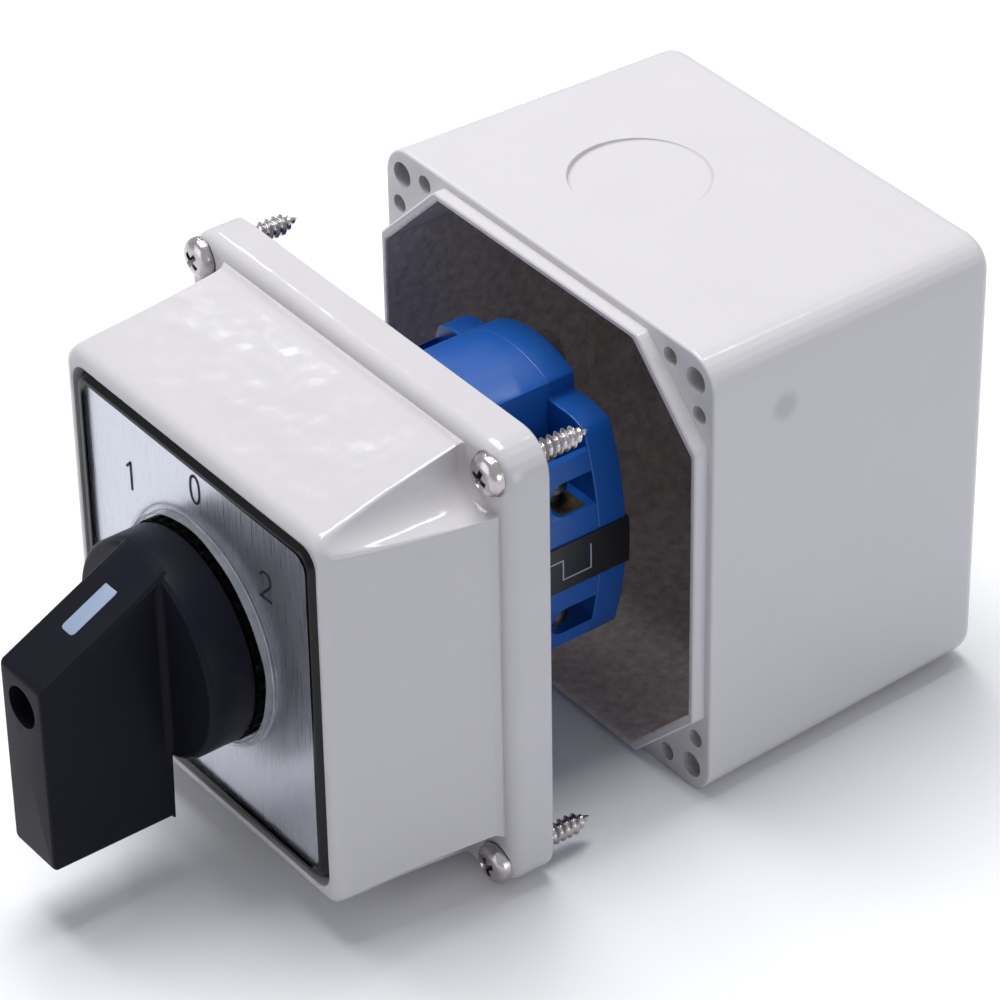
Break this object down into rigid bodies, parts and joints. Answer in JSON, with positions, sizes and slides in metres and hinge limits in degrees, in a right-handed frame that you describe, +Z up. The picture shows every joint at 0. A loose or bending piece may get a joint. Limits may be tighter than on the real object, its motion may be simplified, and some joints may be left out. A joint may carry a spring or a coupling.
{
  "type": "enclosed changeover switch",
  "caption": "Rotary cam changeover switch with lever handle and numbered dial on the cover of a moulded wall box, the cover drawn off the box to show the contact stages.",
  "frame": {"origin": "middle of the box's flat back face, which lies on the wall", "axes": "+Y into the wall, square to the back face and along the switch's shaft; +X to the right and +Z up, seen from the front"},
  "size_m": [0.09, 0.1693, 0.09],
  "materials": {
    "enclosure_plastic": "moulded thermoplastic, pale warm grey, satin gloss",
    "seal_rubber": "matt black",
    "screw_steel": "bright plated self-tapping screws",
    "black_plastic": "satin black moulding",
    "dial_metal": "brushed, grain vertical",
    "print_ink": "printed black",
    "clear_sheet": "clear glossy plastic sheet",
    "zinc_steel": "zinc plated",
    "blue_plastic": "satin blue moulding",
    "spring_steel": "bright spring steel",
    "label_black": "black band with pale printed lines",
    "handle_plastic": "fine satin black moulding",
    "pointer_plastic": "pale blue-white insert",
    "white_plastic": "natural white moulding",
    "contact_brass": "plated contact brass"
  },
  "bodies": {
    "enclosure": {"enclosure_box": "enclosure_plastic"},
    "cover": {"cover": "enclosure_plastic", "cover_gasket": "seal_rubber", "cover_screws": "screw_steel", "dial_frame": "black_plastic", "label_plate": "dial_metal", "dial_numerals": "print_ink", "label_window": "clear_sheet", "collar_ring": "black_plastic", "mounting_plate": "black_plastic", "mounting_screws": "zinc_steel", "detent_housing": "blue_plastic", "detent_springs": "spring_steel", "stage_1": "blue_plastic", "stage_2": "blue_plastic", "stage_3": "blue_plastic", "fixed_contacts_1": "contact_brass", "fixed_contacts_2": "contact_brass", "fixed_contacts_3": "contact_brass", "terminal_screws_1": "zinc_steel", "terminal_screws_2": "zinc_steel", "terminal_screws_3": "zinc_steel", "clamp_washers_1": "zinc_steel", "clamp_washers_2": "zinc_steel", "clamp_washers_3": "zinc_steel", "rear_plate": "blue_plastic", "through_bolts": "zinc_steel", "bolt_nuts": "zinc_steel", "wiring_label": "label_black", "spring_1_right": "spring_steel", "spring_1_left": "spring_steel", "spring_2_right": "spring_steel", "spring_2_left": "spring_steel", "spring_3_right": "spring_steel", "spring_3_left": "spring_steel"},
    "rotor": {"handle": "handle_plastic", "handle_indicator": "pointer_plastic", "handle_screw": "zinc_steel", "switch_shaft": "zinc_steel", "star_wheel": "white_plastic", "cam_1": "white_plastic", "cam_2": "white_plastic", "cam_3": "white_plastic"},
    "contacts_1_right": {"follower_1_right": "white_plastic", "bridge_1_right": "contact_brass"},
    "contacts_1_left": {"follower_1_left": "white_plastic", "bridge_1_left": "contact_brass"},
    "contacts_2_right": {"follower_2_right": "white_plastic", "bridge_2_right": "contact_brass"},
    "contacts_2_left": {"follower_2_left": "white_plastic", "bridge_2_left": "contact_brass"},
    "contacts_3_right": {"follower_3_right": "white_plastic", "bridge_3_right": "contact_brass"},
    "contacts_3_left": {"follower_3_left": "white_plastic", "bridge_3_left": "contact_brass"}
  },
  "joints": [
    {"name": "cover_slide", "type": "slide", "parent": "enclosure", "child": "cover", "axis": [0, 1, 0], "range_m": [0, 0.0333]},
    {"name": "handle_turn", "type": "hinge", "parent": "cover", "child": "rotor", "pos_m": [0, -0.1353, 0], "axis": [0, 1, 0], "range_deg": [-45, 45], "deforming": ["detent_springs"]},
    {"name": "contact_slide_1_right", "type": "slide", "parent": "cover", "child": "contacts_1_right", "axis": [1, 0, 0], "range_m": [-0.00135, 0.00135], "deforming": ["spring_1_right"]},
    {"name": "contact_slide_1_left", "type": "slide", "parent": "cover", "child": "contacts_1_left", "axis": [1, 0, 0], "range_m": [-0.00135, 0.00135], "deforming": ["spring_1_left"]},
    {"name": "contact_slide_2_right", "type": "slide", "parent": "cover", "child": "contacts_2_right", "axis": [1, 0, 0], "range_m": [-0.00135, 0.00135], "deforming": ["spring_2_right"]},
    {"name": "contact_slide_2_left", "type": "slide", "parent": "cover", "child": "contacts_2_left", "axis": [1, 0, 0], "range_m": [-0.00135, 0.00135], "deforming": ["spring_2_left"]},
    {"name": "contact_slide_3_right", "type": "slide", "parent": "cover", "child": "contacts_3_right", "axis": [1, 0, 0], "range_m": [-0.00135, 0.00135], "deforming": ["spring_3_right"]},
    {"name": "contact_slide_3_left", "type": "slide", "parent": "cover", "child": "contacts_3_left", "axis": [1, 0, 0], "range_m": [-0.00135, 0.00135], "deforming": ["spring_3_left"]}
  ],
  "couplings": [
    {"joint": "contact_slide_1_right", "follows": "handle_turn", "m_per_rad": -0.0016552},
    {"joint": "contact_slide_1_left", "follows": "handle_turn", "m_per_rad": -0.0016552},
    {"joint": "contact_slide_2_right", "follows": "handle_turn", "m_per_rad": -0.0016552},
    {"joint": "contact_slide_2_left", "follows": "handle_turn", "m_per_rad": -0.0016552},
    {"joint": "contact_slide_3_right", "follows": "handle_turn", "m_per_rad": -0.0016552},
    {"joint": "contact_slide_3_left", "follows": "handle_turn", "m_per_rad": -0.0016552}
  ]
}
